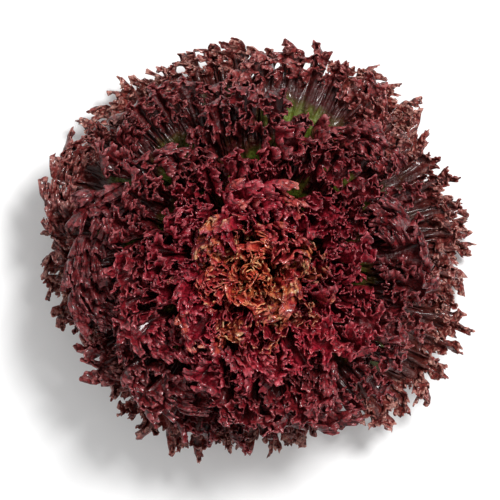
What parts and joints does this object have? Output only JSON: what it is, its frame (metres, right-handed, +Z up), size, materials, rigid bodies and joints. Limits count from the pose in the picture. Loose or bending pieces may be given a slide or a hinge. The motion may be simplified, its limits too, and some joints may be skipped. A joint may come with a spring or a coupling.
{
  "type": "lollo rosso lettuce",
  "caption": "Head of dark red frilled lettuce, cut at the stem, with crimson inner leaves and a paler heart, standing on its cut stem.",
  "frame": {"origin": "centre of the stem's flat cut face, on the surface that the head rests on", "axes": "+Z up out of the stem towards the heart, with the head leaning a little towards -Y as it rises"},
  "size_m": [0.2687, 0.2589, 0.1251],
  "materials": {
    "outer": "crisp leaf, dark maroon, satin",
    "middle": "crisp leaf, crimson, satin",
    "heart": "tender leaf, orange red with cream edges, satin",
    "stem": "pale green, moist where cut"
  },
  "bodies": {
    "root": {"leaf_01": "outer", "leaf_02": "outer", "leaf_03": "outer", "leaf_04": "outer", "leaf_05": "outer", "leaf_06": "outer", "leaf_07": "outer", "leaf_08": "outer", "leaf_09": "outer", "leaf_10": "outer", "leaf_11": "outer", "leaf_12": "outer", "leaf_13": "outer", "leaf_14": "outer", "leaf_15": "outer", "leaf_16": "outer", "leaf_17": "outer", "leaf_18": "middle", "leaf_19": "middle", "leaf_20": "middle", "leaf_21": "middle", "leaf_22": "middle", "leaf_23": "middle", "leaf_24": "middle", "leaf_25": "middle", "leaf_26": "middle", "leaf_27": "middle", "leaf_28": "middle", "leaf_29": "middle", "leaf_30": "middle", "leaf_31": "middle", "leaf_32": "middle", "leaf_33": "middle", "leaf_34": "middle", "leaf_35": "middle", "leaf_36": "heart", "leaf_37": "heart", "leaf_38": "heart", "leaf_39": "heart", "leaf_40": "heart", "leaf_41": "heart", "leaf_42": "heart", "leaf_43": "heart", "leaf_44": "heart", "stem": "stem"}
  },
  "joints": []
}
